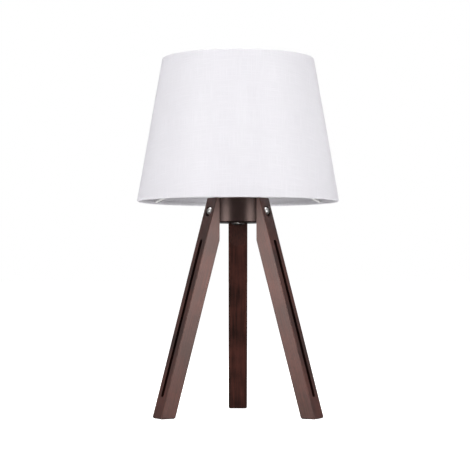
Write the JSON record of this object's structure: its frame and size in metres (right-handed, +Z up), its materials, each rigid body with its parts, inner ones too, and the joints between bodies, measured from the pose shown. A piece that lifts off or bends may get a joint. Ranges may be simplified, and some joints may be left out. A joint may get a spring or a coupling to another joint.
{
  "type": "tripod table lamp",
  "caption": "Table lamp with a conical white fabric shade on a turned dark wood hub and splayed, fluted tripod legs, each held by a counterbored bolt.",
  "frame": {"origin": "on the floor plane under the lamp's axis, at the centre of the three feet", "axes": "+Z up along the lamp's axis, front of the lamp towards -Y, rear leg towards +Y"},
  "size_m": [0.2622, 0.2622, 0.4629],
  "materials": {
    "wenge_wood": "dark stained, satin lacquer",
    "beech_dowel": "plain",
    "pad_felt": "pressed felt",
    "bolt_steel": "bright zinc plated",
    "insert_zinc": "cast zinc alloy",
    "tube_steel": "zinc plated",
    "bush_plastic": "moulded",
    "holder_plastic": "moulded",
    "core_ceramic": "glazed",
    "brass": "drawn",
    "terminal_steel": "nickel plated",
    "wire_enamel": "white powder coat",
    "shade_cloth": "plain weave, laminated",
    "shade_film": "translucent film",
    "bulb_opal": "opal",
    "bulb_white": "moulded",
    "cap_nickel": "nickel plated",
    "insulator_glass": "black",
    "board_aluminium": "white mask on aluminium"
  },
  "bodies": {
    "stand": {"hub": "wenge_wood", "leg_rear": "wenge_wood", "leg_front_left": "wenge_wood", "leg_front_right": "wenge_wood", "foot_pads": "pad_felt", "leg_bolts": "bolt_steel", "bolt_inserts": "insert_zinc", "leg_dowels": "beech_dowel", "threaded_tube": "tube_steel", "tube_washer": "tube_steel", "tube_nut": "tube_steel", "cord_bush": "bush_plastic", "holder_cap": "holder_plastic", "cap_grub_screw": "tube_steel", "holder_sleeve": "holder_plastic", "holder_core": "core_ceramic", "screw_shell": "brass", "centre_contact": "brass", "terminal_screws": "terminal_steel", "collar_lower": "holder_plastic"},
    "shade": {"shade_cover": "shade_cloth", "shade_liner": "shade_film", "shade_wire_bottom": "wire_enamel", "shade_wire_top": "wire_enamel", "fitter_ring": "wire_enamel", "fitter_arms": "wire_enamel"},
    "collar": {"collar_upper": "holder_plastic"},
    "bulb": {"bulb_tip": "cap_nickel", "bulb_insulator": "insulator_glass", "bulb_cap": "cap_nickel", "bulb_housing": "bulb_white", "bulb_board": "board_aluminium", "bulb_globe": "bulb_opal"}
  },
  "joints": [
    {"name": "shade_turn", "type": "hinge", "parent": "stand", "child": "shade", "pos_m": [0, 0, 0.314], "axis": [0, 0, 1], "continuous": true},
    {"name": "collar_turn", "type": "hinge", "parent": "stand", "child": "collar", "pos_m": [0, 0, 0.3186], "axis": [0, 0, 1], "range_deg": [0, 720]},
    {"name": "bulb_turn", "type": "hinge", "parent": "stand", "child": "bulb", "pos_m": [0, 0, 0.33], "axis": [0, 0, 1], "range_deg": [0, 900]}
  ]
}
